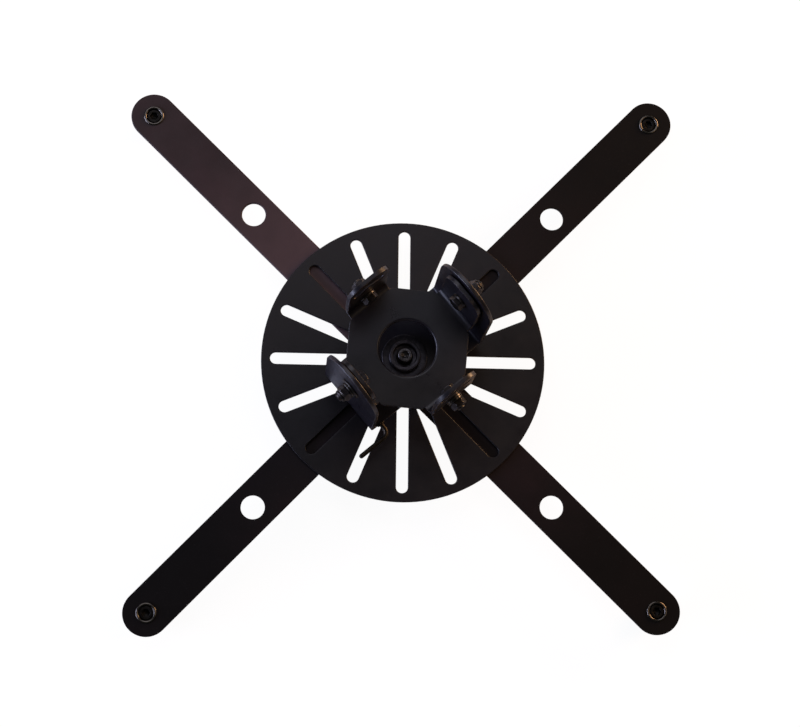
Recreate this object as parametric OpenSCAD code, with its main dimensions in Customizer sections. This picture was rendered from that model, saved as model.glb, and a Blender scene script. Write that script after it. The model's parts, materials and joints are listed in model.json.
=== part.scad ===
// Ceiling projector mount: a slotted disk with four swinging arms carries a swivelling yoke,
// and a pressed octagonal frame with four upturned ears tilts between the yoke's uprights.
// Millimetres, +Z towards the ceiling. The origin is under the disk's centre, in the plane
// of the leg ends that stand on the projector.

/* [Disk] */
// Diameter of the slotted disk
disk_d = 203.2; // [190:0.1:240]
// Thickness of the disk
disk_t = 2.5; // [2:0.1:4]
// Number of radial slots, a multiple of eight so that one lies on each diagonal
slot_count = 16; // [8:8:16]
// Width of a radial slot
slot_w = 8.5; // [7.5:0.1:10]
// Distance from the centre to the inner end of a slot
slot_inner_r = 27.5; // [26:0.5:29]
// Rim left outside the outer ends of the slots
slot_rim = 6.4; // [4:0.1:12]

/* [Arms] */
// Gap between an arm and the disk that it slides under
slide_gap = 0.02; // [0.01:0.01:0.1]
// Width of an arm, which is also twice its end radius
arm_w = 33; // [28:0.5:36]
// Thickness of an arm
arm_t = 3; // [2:0.1:4]
// Distance from an arm's clamp bolt to its leg
arm_reach = 219; // [180:1:260]
// Diameter of the lightening hole in an arm
arm_hole_d = 17; // [12:0.5:22]
// Distance from a leg to the lightening hole
arm_hole_from_leg = 103.7; // [60:0.1:105]
// Distance from the disk's centre to the clamp bolts, upper left, upper right, lower left, lower right
clamp_r = [36.9, 37.6, 34.3, 33.1]; // [32:0.1:60]
// Sideways place of each clamp bolt in its slot, as a share of its play, in the same order
clamp_lean = [0.75, -0.75, -0.75, 0.75]; // [-0.75:0.05:0.75]
// Swing of each arm off its slot, in degrees, in the same order
arm_swing = [0.8, 0.7, 1.15, 0.8]; // [-10:0.05:10]

/* [Legs] */
// Height of a leg below its arm
leg_h = 20; // [14:0.5:40]
// Outside diameter of a leg
leg_d = 16; // [15:0.5:20]
// Diameter of the rolled rim that holds a leg in its arm
leg_rim_d = 14.5; // [14:0.1:16]
// Diameter of the leg's neck in the arm
leg_neck_d = 12.4; // [12:0.1:13]
// Radial gap between a leg's counterbore and the head of its screw
leg_bore_gap = 0.3; // [0.1:0.05:0.4]
// Depth of a leg screw's head under the top of the arm
leg_head_sink = 0.4; // [0:0.1:1.5]
// Distance from the end of a leg screw to the end of its leg
leg_screw_short = 1; // [0.5:0.1:3]

/* [Swivel] */
// Outside diameter of the swivel boss's neck
boss_d = 22; // [20:0.5:26]
// Diameter of the boss's foot on the disk
foot_d = 36; // [30:0.5:40]
// Height of the yoke's underside over the disk
yoke_lift = 10; // [9.5:0.1:16]
// Height of the top of the boss over the yoke's base
boss_proud = 7; // [6:0.5:12]
// Diameter of the recess for the screw head in the boss
boss_recess_d = 17; // [13:0.5:18]
// Depth of that recess
boss_recess = 6; // [4:0.5:8]
// Outside diameter of the retaining ring
ring_d = 32; // [28:0.5:36]
// Thickness of the retaining ring
ring_t = 2; // [1:0.1:3]
// Thickness of the sliding washer under the yoke
slip_t = 1; // [0.5:0.1:2]

/* [Yoke] */
// Turn of the yoke and the frame about the swivel, in degrees
head_turn = -4.7; // [-30:0.1:30]
// Thickness of the yoke's sheet
yoke_t = 3; // [2:0.1:4]
// Width of the yoke
yoke_w = 52; // [44:0.5:58]
// Height of the tilt pivot over the yoke's base
pivot_rise = 60; // [50:0.5:80]
// Outside radius of the yoke's folds
fold_r = 5; // [4.5:0.1:7]
// Diameter of the tether hook's rod
hook_d = 3.4; // [2:0.1:4]
// Distance from the yoke's side to the hook's long leg
hook_out = 9.2; // [8:0.1:16]
// Distance from the yoke's fold to the hook
hook_set = 1.7; // [0:0.1:6]
// Length of the hook's long leg
hook_len = 21; // [15:0.5:40]

/* [Tilt frame] */
// Distance across the flats of the octagon
octagon_w = 83; // [76:0.5:100]
// Thickness of the frame's sheet
frame_t = 3; // [2:0.1:4]
// Depth of the octagon's top face under the tilt pivot
frame_drop = 26; // [22:0.5:30]
// Diameter of the hole in the octagon
frame_hole_d = 39.5; // [34:0.5:48]
// Width of the ears
ear_w = 34; // [30:0.5:38]
// Distance that the ears stand out past the octagon's flat sides
ear_stand = 6; // [3:0.5:8]
// Outside radius of the ears' folds
ear_fold_r = 8; // [5:0.5:9]
// Radius of the ears' top corners
ear_corner = 12; // [4:0.5:14]
// Height of the two pivot ears over the tilt pivot
pivot_ear_rise = 20; // [16:0.5:24]
// Height of the two lock ears over the octagon
lock_ear_h = 53; // [46:0.5:64]
// Height of the lock bolts over the octagon
lock_rise = 12; // [10:0.5:18]
// Radius of the arc slot in a lock ear, about its bolt
arc_r = 27; // [22:0.5:30]
// Width of the arc slot
arc_w = 6.6; // [6:0.1:8]
// Half the angle that the arc slot spans, in degrees
arc_half = 22; // [10:1:26]

/* [Fasteners] */
// Diameter of the screws and bolts
bolt_d = 6; // [5:0.1:6]
// Distance across the flats of the hexagon heads and nuts
hex_w = 10; // [9:0.1:10]
// Height of a hexagon head
head_h = 4; // [3:0.1:4.5]
// Height of a nut
nut_h = 5; // [4:0.1:6]
// Thickness of a plain washer
washer_t = 1.6; // [1:0.1:2]
// Diameter of a plain washer
washer_d = 12; // [11.6:0.1:14]
// Diameter of the wide washer that bridges a slot of the disk
wide_washer_d = 16; // [14:0.5:18]
// Thickness of a spring washer
spring_t = 1.5; // [1:0.1:2]
// Thickness of the sliding washer between an ear and the yoke
ear_slip_t = 1.2; // [0.8:0.1:2]
// Radial clearance of a bolt in a hole that it only passes through
hole_clear = 0.3; // [0.2:0.05:0.5]
// Radial clearance of a pin or neck that turns in its hole
run_clear = 0.08; // [0.03:0.01:0.1]
// Height of the round collar on the pivots' self-locking nuts
collar_h = 2; // [1:0.1:3]
// Thread that stands out past a nut
bolt_proud = 1.4; // [0.5:0.1:2]
// Diameter of a socket screw's head
cap_d = 10; // [9:0.1:10]
// Distance across the flats of its socket
socket_w = 5; // [4:0.1:5]

/* [Hidden] */
$fn = 96;
DIAGONAL = [135, 45, 225, 315];
arm_z = leg_h;
arm_top = arm_z + arm_t;
disk_z = arm_top + slide_gap;
disk_top = disk_z + disk_t;
slot_outer_r = disk_d / 2 - slot_rim;
yoke_z = disk_top + yoke_lift;
yoke_top = yoke_z + yoke_t;
boss_top = yoke_top + boss_proud;
recess_z = boss_top - boss_recess;
leg_bore_d = cap_d + 2 * leg_bore_gap;
leg_seat_z = arm_top - leg_head_sink - bolt_d;
pivot_z = yoke_top + pivot_rise;
plate_top = pivot_z - frame_drop;
plate_z = plate_top - frame_t;
lock_z = plate_top + lock_rise;
ear_out = octagon_w / 2 + ear_stand;
ear_in = ear_out - frame_t;
upright_in = ear_out + ear_slip_t;
upright_out = upright_in + yoke_t;
octagon_r = octagon_w / 2 / cos(22.5);
lip = 0.8;
chamfer = 0.6;
cut = 1;

// A straight slot with round ends, from radius a to radius b along +X.
module radial_slot(a, b, w, z, h) {
    r = w / 2;
    translate([0, 0, z]) linear_extrude(h) {
        translate([a + r, 0]) circle(r);
        translate([b - r, 0]) circle(r);
        translate([a + r, -r]) square([b - a - w, w]);
    }
}

// A flat ring that stands on z.
module ring(outer, inner, z, h) {
    translate([0, 0, z]) difference() {
        cylinder(d = outer, h = h);
        translate([0, 0, -cut]) cylinder(d = inner, h = h + 2 * cut);
    }
}

// A hexagon whose corners are turned off at the top, and at the bottom too for a nut.
module hexagon(w, h, both) {
    r = w / sqrt(3);
    low = both ? w / 2 : r + cut;
    intersection() {
        cylinder(r = r, h = h, $fn = 6);
        rotate_extrude() polygon([
            [0, 0], [low, 0], [r + 0.1, (r + 0.1 - low) / 2],
            [r + 0.1, h - (r + 0.1 - w / 2) / 2], [w / 2, h], [0, h]
        ]);
    }
}

// A nut that stands on z = 0.
module nut() {
    difference() {
        hexagon(hex_w, nut_h, true);
        translate([0, 0, -cut]) cylinder(d = bolt_d, h = nut_h + 2 * cut);
    }
}

// A self-locking nut that stands on z = 0: a nut with a round collar on top.
module collar_nut() {
    r = hex_w * 0.46;
    top = nut_h + collar_h;
    nut();
    rotate_extrude() polygon([
        [bolt_d / 2, nut_h - cut], [r, nut_h - cut], [r, top - chamfer], [r - chamfer, top],
        [bolt_d / 2, top]
    ]);
}

// A hexagon bolt: the head lies under z = 0 and the shank reaches up to len.
module hex_bolt(len) {
    mirror([0, 0, 1]) hexagon(hex_w, head_h, false);
    cylinder(d = bolt_d, h = len - chamfer);
    translate([0, 0, len - chamfer]) cylinder(d1 = bolt_d, d2 = bolt_d - 2 * chamfer, h = chamfer);
}

// A spring washer: one turn of square wire, with a gap.
module spring_washer() {
    wire = (washer_d - bolt_d) / 2 - hole_clear;
    rotate([0, 0, 8]) rotate_extrude(angle = 344)
        translate([bolt_d / 2 + hole_clear, 0]) square([wire * 0.9, spring_t]);
}

// Places a child at the clamp bolt of arm i, with +X along the arm.
module at_clamp(i) {
    side = clamp_lean[i] * (slot_w - bolt_d) / 2;
    rotate([0, 0, DIAGONAL[i]]) translate([clamp_r[i], side, 0]) rotate([0, 0, arm_swing[i]]) children();
}

// Places a child on a horizontal bolt axis: corner i of the head, height z, with +Z outwards.
module on_ear(i, z) {
    rotate([0, 0, head_turn + DIAGONAL[i]]) translate([0, 0, z]) rotate([0, 90, 0]) rotate([0, 0, 90])
        children();
}

// Slotted disk with the hole for the swivel screw.
module spider_disk() {
    color([0.13, 0.12, 0.13]) difference() {
        translate([0, 0, disk_z]) cylinder(d = disk_d, h = disk_t, $fn = 180);
        for (k = [0 : slot_count - 1])
            rotate([0, 0, k * 360 / slot_count])
                radial_slot(slot_inner_r, slot_outer_r, slot_w, disk_z - cut, disk_t + 2 * cut);
        translate([0, 0, disk_z - cut]) cylinder(d = bolt_d + 2 * hole_clear, h = disk_t + 2 * cut);
    }
}

// Flat bar with round ends, the clamp hole, the lightening hole and the leg's hole.
module arm(i) {
    color([0.11, 0.09, 0.09]) at_clamp(i) translate([0, 0, arm_z]) linear_extrude(arm_t) difference() {
        union() {
            circle(d = arm_w);
            translate([0, -arm_w / 2]) square([arm_reach, arm_w]);
            translate([arm_reach, 0]) circle(d = arm_w);
        }
        circle(d = bolt_d + 2 * run_clear);
        translate([arm_reach - arm_hole_from_leg, 0]) circle(d = arm_hole_d);
        translate([arm_reach, 0]) circle(d = leg_neck_d);
    }
}

// Socket screw: the head stands on z = 0 and the shank reaches len below it.
module socket_screw(len) {
    difference() {
        union() {
            translate([0, 0, chamfer - len]) cylinder(d = bolt_d, h = len - chamfer);
            translate([0, 0, -len]) cylinder(d1 = bolt_d - 2 * chamfer, d2 = bolt_d, h = chamfer);
            cylinder(d = cap_d, h = bolt_d - chamfer);
            translate([0, 0, bolt_d - chamfer]) cylinder(d1 = cap_d, d2 = cap_d - 2 * chamfer, h = chamfer);
        }
        translate([0, 0, bolt_d / 2]) cylinder(r = socket_w / sqrt(3), h = bolt_d, $fn = 6);
    }
}

// Hollow leg: a turned tube under the arm, a neck through it and a rim rolled over on top.
module leg(i) {
    r_bore = leg_bore_d / 2;
    r_out = leg_d / 2;
    r_neck = leg_neck_d / 2;
    r_rim = leg_rim_d / 2;
    r_hole = bolt_d / 2 + hole_clear;
    top = arm_top;
    color([0.16, 0.15, 0.14]) at_clamp(i) translate([arm_reach, 0, 0]) rotate_extrude() polygon([
        [r_hole, 0], [r_out - chamfer, 0], [r_out, chamfer], [r_out, arm_z],
        [r_neck, arm_z], [r_neck, top], [r_rim, top], [r_rim, top + lip * 0.4],
        [r_rim - lip * 0.6, top + lip], [r_bore + chamfer, top + lip], [r_bore, top + lip - chamfer],
        [r_bore, leg_seat_z], [r_hole, leg_seat_z]
    ]);
}

// Socket screw that fastens a leg to the projector, shown drawn back inside the leg.
module leg_screw(i) {
    color([0.14, 0.13, 0.13]) at_clamp(i) translate([arm_reach, 0, leg_seat_z])
        socket_screw(leg_seat_z - leg_screw_short);
}

// Clamp bolt, wide washer and nut of an arm: the bolt's head lies under the arm.
module clamp_bolt(i) {
    len = arm_t + slide_gap + disk_t + washer_t + nut_h + bolt_proud;
    color([0.55, 0.53, 0.5]) at_clamp(i) translate([0, 0, arm_z]) hex_bolt(len);
}

module clamp_washer(i) {
    color([0.6, 0.58, 0.55]) at_clamp(i) ring(wide_washer_d, bolt_d + 2 * run_clear, disk_top, washer_t);
}

module clamp_nut(i) {
    color([0.55, 0.53, 0.5]) at_clamp(i) translate([0, 0, disk_top + washer_t]) nut();
}

// Turned boss: a foot on the disk, a neck that the yoke turns on, and a recess for the screw.
module swivel_boss() {
    r_neck = boss_d / 2;
    r_recess = boss_recess_d / 2;
    r_hole = bolt_d / 2 + hole_clear;
    color([0.2, 0.18, 0.19]) rotate_extrude() polygon([
        [r_hole, disk_top], [foot_d / 2, disk_top], [foot_d / 2, yoke_z - slip_t],
        [r_neck, yoke_z - slip_t], [r_neck, boss_top - chamfer], [r_neck - chamfer, boss_top],
        [r_recess + chamfer, boss_top], [r_recess, boss_top - chamfer], [r_recess, recess_z],
        [r_hole, recess_z]
    ]);
}

// Socket screw that bolts the boss to the disk.
module swivel_screw() {
    seat = recess_z + washer_t;
    low = disk_z - washer_t - nut_h - bolt_proud;
    color([0.45, 0.44, 0.44]) translate([0, 0, seat]) socket_screw(seat - low);
}

module swivel_screw_washer() {
    color([0.6, 0.58, 0.55]) ring(washer_d, bolt_d + 2 * hole_clear, recess_z, washer_t);
}

module swivel_nut_washer() {
    color([0.6, 0.58, 0.55]) ring(washer_d, bolt_d + 2 * hole_clear, disk_z - washer_t, washer_t);
}

module swivel_nut() {
    color([0.55, 0.53, 0.5]) translate([0, 0, disk_z - washer_t - nut_h]) nut();
}

// Plastic washer that the yoke slides on.
module slip_washer() {
    color([0.75, 0.73, 0.68]) ring(foot_d, boss_d + 2 * run_clear, yoke_z - slip_t, slip_t);
}

// Ring pressed on the boss over the yoke's base.
module retaining_ring() {
    color([0.2, 0.19, 0.2]) ring(ring_d, boss_d, yoke_top, ring_t);
}

// Side view of a folded U: half its outside width, its floor, its height, its sheet and its folds.
module u_profile(half, floor_z, top, t, r) {
    difference() {
        union() {
            translate([-half, floor_z + r]) square([2 * half, top - floor_z - r]);
            translate([r - half, floor_z]) square([2 * (half - r), r]);
            for (s = [-1, 1]) translate([s * (half - r), floor_z + r]) circle(r);
        }
        translate([t - half, floor_z + r]) square([2 * (half - t), top - floor_z]);
        translate([r - half, floor_z + t]) square([2 * (half - r), r]);
        for (s = [-1, 1]) translate([s * (half - r), floor_z + r]) circle(r - t);
    }
}

// A U of sheet that runs along +X, w wide and uncut at its tops.
module folded_u(half, floor_z, top, t, r, w) {
    translate([0, w / 2, 0]) rotate([90, 0, 0]) linear_extrude(w) u_profile(half, floor_z, top, t, r);
}

// Front view of an upright with a round top about the point at height z.
module round_top(w, low, z, reach) {
    rotate([90, 0, 90]) translate([0, 0, -reach]) linear_extrude(2 * reach) {
        translate([-w / 2, low]) square([w, z - low]);
        translate([0, z]) circle(d = w);
    }
}

// Yoke: a broad U of sheet with round-topped uprights, turning on the boss.
module yoke() {
    top = pivot_z + yoke_w / 2;
    color([0.12, 0.11, 0.12]) rotate([0, 0, head_turn + 45]) difference() {
        intersection() {
            folded_u(upright_out, yoke_z, top, yoke_t, fold_r, yoke_w);
            round_top(yoke_w, yoke_z, pivot_z, upright_out + cut);
        }
        translate([0, 0, yoke_z - cut]) cylinder(d = boss_d + 2 * run_clear, h = yoke_t + 2 * cut);
        translate([-upright_out - cut, 0, pivot_z]) rotate([0, 90, 0])
            cylinder(d = bolt_d, h = 2 * (upright_out + cut));
    }
}

// Hook for the safety tether: a bent rod welded to the side of the yoke's base.
module tether_hook() {
    bend = 1.5 * hook_d;
    start = upright_out - fold_r - hook_set - hook_d / 2;
    z = yoke_z + yoke_t / 2;
    color([0.2, 0.17, 0.14]) rotate([0, 0, head_turn + 225]) translate([start, yoke_w / 2, z]) {
        rotate([-90, 0, 0]) cylinder(d = hook_d, h = hook_out - bend);
        translate([bend, hook_out - bend, 0]) rotate([0, 0, 90]) rotate_extrude(angle = 90)
            translate([bend, 0]) circle(d = hook_d);
        translate([bend, hook_out, 0]) rotate([0, 90, 0]) cylinder(d = hook_d, h = hook_len);
        translate([bend + hook_len, hook_out, 0]) rotate([0, 90, 0])
            cylinder(d1 = hook_d, d2 = hook_d - 2 * chamfer, h = chamfer);
    }
}

// Pivot fasteners, which stay with the yoke. The bolt's head lies inside the ear.
module pivot_bolt(i) {
    seat = ear_in - washer_t;
    len = upright_out + washer_t + spring_t + nut_h + collar_h + bolt_proud - seat;
    color([0.5, 0.48, 0.46]) on_ear(i, pivot_z) translate([0, 0, seat]) hex_bolt(len);
}

module pivot_head_washer(i) {
    color([0.6, 0.58, 0.55]) on_ear(i, pivot_z)
        ring(washer_d, bolt_d + 2 * hole_clear, ear_in - washer_t, washer_t);
}

module ear_slip_washer(i) {
    color([0.7, 0.68, 0.63]) on_ear(i, pivot_z)
        ring(washer_d * 1.5, bolt_d + 2 * hole_clear, ear_out, ear_slip_t);
}

module pivot_washer(i) {
    color([0.6, 0.58, 0.55]) on_ear(i, pivot_z)
        ring(wide_washer_d, bolt_d + 2 * hole_clear, upright_out, washer_t);
}

module pivot_spring_washer(i) {
    color([0.5, 0.48, 0.45]) on_ear(i, pivot_z) translate([0, 0, upright_out + washer_t]) spring_washer();
}

module pivot_nut(i) {
    color([0.5, 0.48, 0.46]) on_ear(i, pivot_z) translate([0, 0, upright_out + washer_t + spring_t])
        collar_nut();
}

// Points on an arc about centre c, from angle a to angle b, both measured from +Y towards +X.
function arc_points(c, r, a, b, first, last, n) =
    [for (k = [first : last]) let (t = a + (b - a) * k / n) [c[0] + r * sin(t), c[1] + r * cos(t)]];

// Outline of the arc slot of a lock ear, about its bolt: two arcs joined by two round ends.
module arc_slot_2d() {
    n = 24;
    r = arc_w / 2;
    right = [arc_r * sin(arc_half), arc_r * cos(arc_half)];
    left = [-right[0], right[1]];
    polygon(concat(
        arc_points([0, 0], arc_r + r, -arc_half, arc_half, 0, n, n),
        arc_points(right, r, arc_half, arc_half + 180, 1, n - 1, n),
        arc_points([0, 0], arc_r - r, arc_half, -arc_half, 0, n, n),
        arc_points(left, r, 180 - arc_half, 360 - arc_half, 1, n - 1, n)
    ));
}

// Two opposite ears, along +X, with round top corners.
module ears(top) {
    reach = ear_out + cut;
    intersection() {
        folded_u(ear_out, plate_z, top, frame_t, ear_fold_r, ear_w);
        rotate([90, 0, 90]) translate([0, 0, -reach]) linear_extrude(2 * reach) {
            translate([-ear_w / 2, plate_z]) square([ear_w, top - plate_z - ear_corner]);
            translate([ear_corner - ear_w / 2, plate_z]) square([ear_w - 2 * ear_corner, top - plate_z]);
            for (s = [-1, 1])
                translate([s * (ear_w / 2 - ear_corner), top - ear_corner]) circle(ear_corner);
        }
    }
}

// Holes of two opposite ears, along +X, at height z.
module ear_holes(z, r) {
    translate([-ear_out - cut, 0, z]) rotate([0, 90, 0]) cylinder(r = r, h = 2 * (ear_out + cut));
}

// Arc slots of the two lock ears, along +X.
module arc_slots() {
    rotate([90, 0, 90]) translate([0, lock_z, -ear_out - cut]) linear_extrude(2 * (ear_out + cut))
        arc_slot_2d();
}

// Tilt frame: an octagon of sheet with a round hole and an ear folded up at each diagonal side.
module tilt_frame() {
    flat = ear_out - ear_fold_r;
    color([0.14, 0.13, 0.15]) rotate([0, 0, head_turn + 45]) difference() {
        union() {
            translate([0, 0, plate_z]) intersection() {
                rotate([0, 0, 22.5]) cylinder(r = octagon_r, h = frame_t, $fn = 8);
                translate([-flat, -flat, 0]) cube([2 * flat, 2 * flat, frame_t]);
            }
            ears(pivot_z + pivot_ear_rise);
            rotate([0, 0, 90]) ears(plate_top + lock_ear_h);
        }
        ear_holes(pivot_z, bolt_d / 2 + run_clear);
        rotate([0, 0, 90]) {
            ear_holes(lock_z, bolt_d / 2 + hole_clear);
            arc_slots();
        }
        translate([0, 0, plate_z - cut]) cylinder(d = frame_hole_d, h = frame_t + 2 * cut);
    }
}

// Lock fasteners, which clamp the pole's bracket to the frame.
module lock_bolt(i) {
    seat = ear_in - washer_t;
    len = washer_t + frame_t + washer_t + spring_t + nut_h + bolt_proud;
    color([0.5, 0.48, 0.46]) on_ear(i, lock_z) translate([0, 0, seat]) hex_bolt(len);
}

module lock_head_washer(i) {
    color([0.6, 0.58, 0.55]) on_ear(i, lock_z)
        ring(washer_d, bolt_d + 2 * hole_clear, ear_in - washer_t, washer_t);
}

module lock_washer(i) {
    color([0.6, 0.58, 0.55]) on_ear(i, lock_z)
        ring(washer_d, bolt_d + 2 * hole_clear, ear_out, washer_t);
}

module lock_spring_washer(i) {
    color([0.5, 0.48, 0.45]) on_ear(i, lock_z) translate([0, 0, ear_out + washer_t]) spring_washer();
}

module lock_nut(i) {
    color([0.5, 0.48, 0.46]) on_ear(i, lock_z) translate([0, 0, ear_out + washer_t + spring_t]) nut();
}

spider_disk();
arm(0);  // arm_upper_left
arm(1);  // arm_upper_right
arm(2);  // arm_lower_left
arm(3);  // arm_lower_right
leg(0);  // leg_upper_left
leg(1);  // leg_upper_right
leg(2);  // leg_lower_left
leg(3);  // leg_lower_right
leg_screw(0);  // leg_screw_upper_left
leg_screw(1);  // leg_screw_upper_right
leg_screw(2);  // leg_screw_lower_left
leg_screw(3);  // leg_screw_lower_right
clamp_bolt(0);  // clamp_bolt_upper_left
clamp_bolt(1);  // clamp_bolt_upper_right
clamp_bolt(2);  // clamp_bolt_lower_left
clamp_bolt(3);  // clamp_bolt_lower_right
clamp_washer(0);  // clamp_washer_upper_left
clamp_washer(1);  // clamp_washer_upper_right
clamp_washer(2);  // clamp_washer_lower_left
clamp_washer(3);  // clamp_washer_lower_right
clamp_nut(0);  // clamp_nut_upper_left
clamp_nut(1);  // clamp_nut_upper_right
clamp_nut(2);  // clamp_nut_lower_left
clamp_nut(3);  // clamp_nut_lower_right
swivel_boss();
swivel_screw();
swivel_screw_washer();
swivel_nut();
swivel_nut_washer();
slip_washer();
retaining_ring();
yoke();
tether_hook();
pivot_nut(1);  // pivot_nut_upper_right
pivot_nut(2);  // pivot_nut_lower_left
pivot_spring_washer(1);  // pivot_spring_washer_upper_right
pivot_spring_washer(2);  // pivot_spring_washer_lower_left
pivot_washer(1);  // pivot_washer_upper_right
pivot_washer(2);  // pivot_washer_lower_left
pivot_bolt(1);  // pivot_bolt_upper_right
pivot_bolt(2);  // pivot_bolt_lower_left
pivot_head_washer(1);  // pivot_head_washer_upper_right
pivot_head_washer(2);  // pivot_head_washer_lower_left
ear_slip_washer(1);  // ear_slip_washer_upper_right
ear_slip_washer(2);  // ear_slip_washer_lower_left
tilt_frame();
lock_bolt(0);  // lock_bolt_upper_left
lock_bolt(3);  // lock_bolt_lower_right
lock_head_washer(0);  // lock_head_washer_upper_left
lock_head_washer(3);  // lock_head_washer_lower_right
lock_washer(0);  // lock_washer_upper_left
lock_washer(3);  // lock_washer_lower_right
lock_spring_washer(0);  // lock_spring_washer_upper_left
lock_spring_washer(3);  // lock_spring_washer_lower_right
lock_nut(0);  // lock_nut_upper_left
lock_nut(3);  // lock_nut_lower_right
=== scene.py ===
"""Ceiling projector mount: rubbed powder coat with painted edge reflections on its sheets, turned and
threaded hardware, and a studio.
"""

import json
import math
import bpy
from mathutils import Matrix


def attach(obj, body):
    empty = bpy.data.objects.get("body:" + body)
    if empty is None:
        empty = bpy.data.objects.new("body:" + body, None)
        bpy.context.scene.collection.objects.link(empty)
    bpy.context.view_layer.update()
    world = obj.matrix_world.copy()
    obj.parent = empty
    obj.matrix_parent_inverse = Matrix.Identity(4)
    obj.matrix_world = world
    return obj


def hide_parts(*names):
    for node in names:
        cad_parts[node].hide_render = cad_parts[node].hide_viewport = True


bl_info = {
    "name": "Projector Mount",
    "version": (1, 0, 0),
    "blender": (4, 5, 0),
    "location": "3D View > Sidebar > Projector Mount",
    "description": "Dresses a ceiling projector mount with worn powder coat, plated hardware and a studio",
    "category": "Object",
}

import bmesh
import bpy
import numpy as np
from bpy.props import FloatProperty, FloatVectorProperty, IntProperty, PointerProperty
from bpy.types import Operator, Panel, PropertyGroup
from mathutils import Vector

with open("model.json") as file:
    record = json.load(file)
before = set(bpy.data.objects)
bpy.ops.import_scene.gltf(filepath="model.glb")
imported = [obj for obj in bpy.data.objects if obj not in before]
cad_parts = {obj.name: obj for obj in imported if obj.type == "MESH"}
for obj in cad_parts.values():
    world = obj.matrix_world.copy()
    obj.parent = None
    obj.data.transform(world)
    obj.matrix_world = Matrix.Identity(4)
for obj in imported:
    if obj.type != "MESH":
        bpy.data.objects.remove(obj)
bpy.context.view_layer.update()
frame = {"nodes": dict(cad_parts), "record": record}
NODES = frame["nodes"]
MM = 0.001
CORNERS = ("upper_left", "upper_right", "lower_left", "lower_right")
PIVOT_CORNERS = ("upper_right", "lower_left")
LOCK_CORNERS = ("upper_left", "lower_right")
HEAD_HEIGHT = 0.004  # of a hexagon bolt
HOLE_CLEAR = 0.0003  # round a bolt in a hole that it only passes through
RUN_CLEAR = 0.00008  # round a neck that turns in its hole
BOSS_NECK = 0.011  # radius of the swivel boss's neck
SEAT_LIFT = 0.00003  # of a washer off the face that it slides on
FLOOR_DROP = 0.0003  # of the floor under the legs' ends, so that no two faces lie in one plane
SHARPNESS = 70.0  # power that leaves a hexagon's corners and chamfers a little rounded


def points_of(node):
    """A node's points as rows of an array."""
    mesh = NODES[node].data
    flat = np.empty(len(mesh.vertices) * 3)
    mesh.vertices.foreach_get("co", flat)
    return flat.reshape(-1, 3)


def joint_axis(name):
    """Direction of a joint as an array."""
    for joint in frame["record"]["behaviour"]["joints"]:
        if joint["name"] == name:
            return np.array(joint["axis"], float)
    raise ValueError(name)


def mount_radius(name):
    """Radius of a round mount."""
    for mount in frame["record"]["mounts"]:
        if mount["name"] == name:
            return mount["dims"]["r_mm"] * MM
    raise ValueError(name)


TILT = joint_axis("frame_tilt")
ACROSS = np.array((-TILT[1], TILT[0], 0.0))
UP = np.array((0.0, 0.0, 1.0))
OUTWARD = {"upper_right": TILT, "lower_left": -TILT, "upper_left": ACROSS, "lower_right": -ACROSS}


def panel_colour(name, description, default):
    """A colour that a user can change in the panel."""
    return FloatVectorProperty(
        name=name, description=description, subtype="COLOR", size=3, min=0.0, max=1.0, default=default
    )


class CoatSettings(PropertyGroup):
    """Colours of the powder-coated sheet and the plated hardware."""

    disk: panel_colour("Disk", "Powder coat of the slotted disk", (0.0052, 0.0044, 0.0056))
    arm: panel_colour("Arms", "Powder coat of the arms", (0.0082, 0.0054, 0.0060))
    head: panel_colour("Head", "Powder coat of the yoke and the tilt frame", (0.0056, 0.0047, 0.0076))
    # The edge colour is a painted reflection: a bronze tone along the coat's edges that stands in for warm
    # light reflected there.
    edge: panel_colour(
        "Edge reflection", "Bare bronze-toned metal where the coat is rubbed off", (0.150, 0.085, 0.045)
    )
    # The paler arm is a painted sheen: the same coat as the other arms, painted lighter where it catches the
    # light.
    pale_arm: panel_colour(
        "Paler arm", "Powder coat of the arm at the upper left", (0.068, 0.0430, 0.0470)
    )
    steel: panel_colour("Bolts and nuts", "Black zinc on bolts and nuts", (0.036, 0.033, 0.034))
    washer: panel_colour("Washers", "Black zinc on washers", (0.075, 0.070, 0.066))
    plastic: panel_colour("Sliding washers", "Dark nylon of the sliding washers", (0.045, 0.040, 0.036))
    peel: FloatProperty(
        name="Orange peel", description="Size of the powder coat's ripple", unit="LENGTH",
        min=0.0002, max=0.01, default=0.0009,
    )
    # The edge radius is the reach of the painted edge reflection on the coat and of the rubbed edges on the
    # hardware.
    wear_and_sheen: FloatProperty(
        name="Edge radius", description="Reach of the wear along an edge", unit="LENGTH",
        min=0.0001, max=0.005, default=0.0007,
    )


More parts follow.
